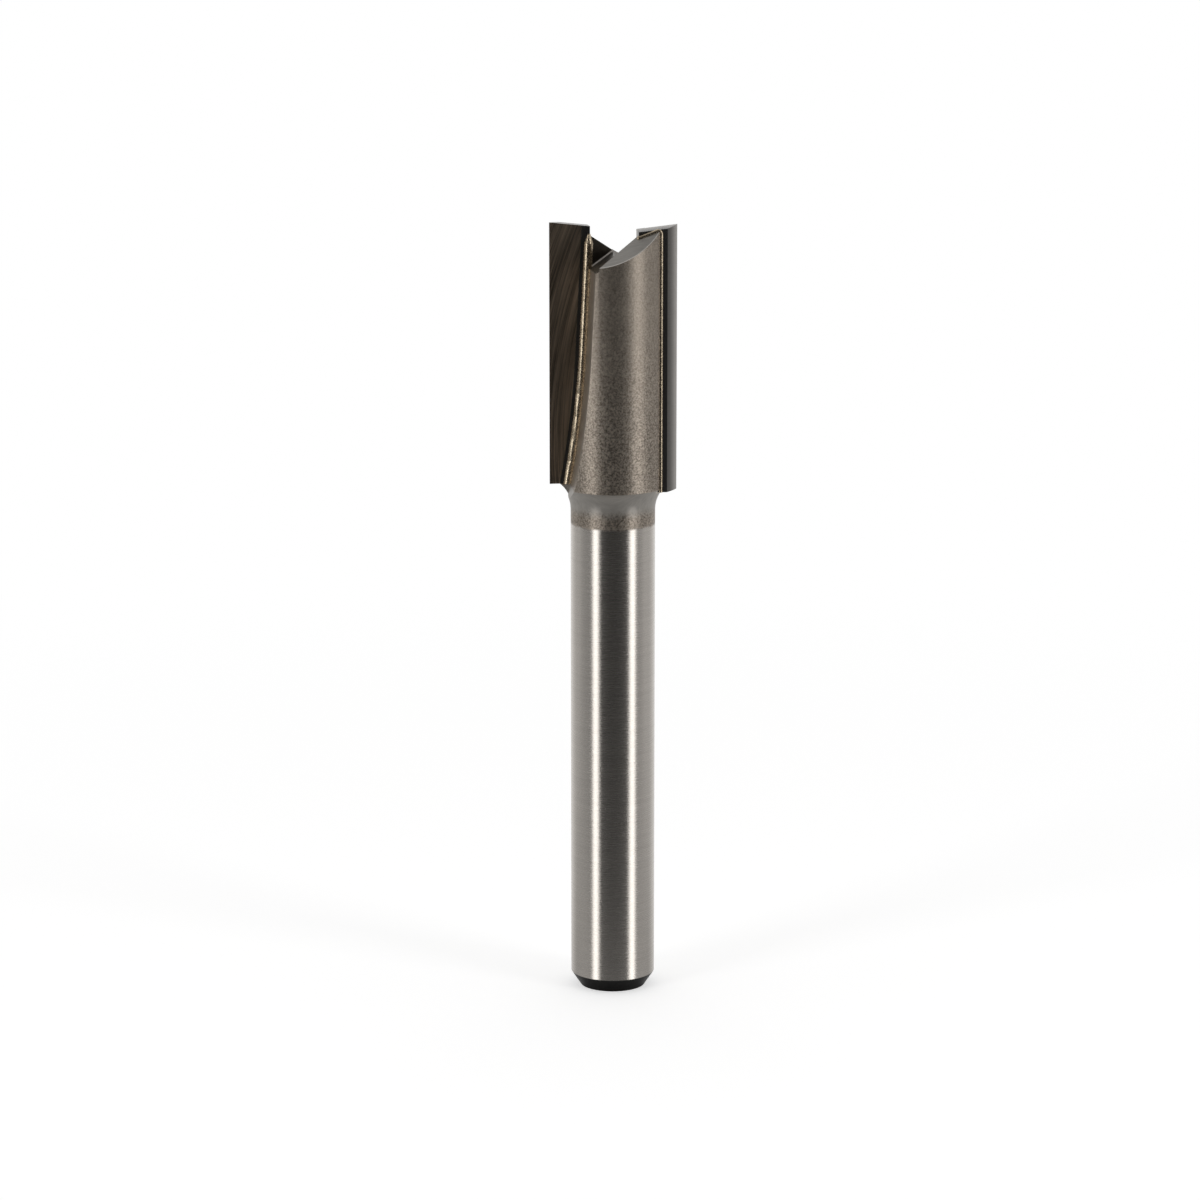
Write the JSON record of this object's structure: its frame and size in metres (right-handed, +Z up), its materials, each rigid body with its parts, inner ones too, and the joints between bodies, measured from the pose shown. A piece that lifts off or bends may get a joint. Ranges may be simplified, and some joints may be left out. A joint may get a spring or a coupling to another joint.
{
  "type": "router bit",
  "caption": "Straight router bit with carbide tips brazed into a milled steel body, on a plain quarter-inch shank.",
  "frame": {"origin": "centre of the shank's end face", "axes": "+Z up the shank to the cutting end, +X towards the cutting edge of carbide_tip_b"},
  "size_m": [0.0096, 0.008, 0.0587],
  "materials": {
    "tool_steel": "ground and polished shank, fine grit-blasted cutter body",
    "carbide": "tungsten carbide, ground with fine diagonal scratches",
    "silver_solder": "pale grainy silver solder"
  },
  "bodies": {
    "root": {"tool_body": "tool_steel", "carbide_tip_a": "carbide", "carbide_tip_b": "carbide", "braze_seam_a": "silver_solder", "braze_seam_b": "silver_solder"}
  },
  "joints": []
}
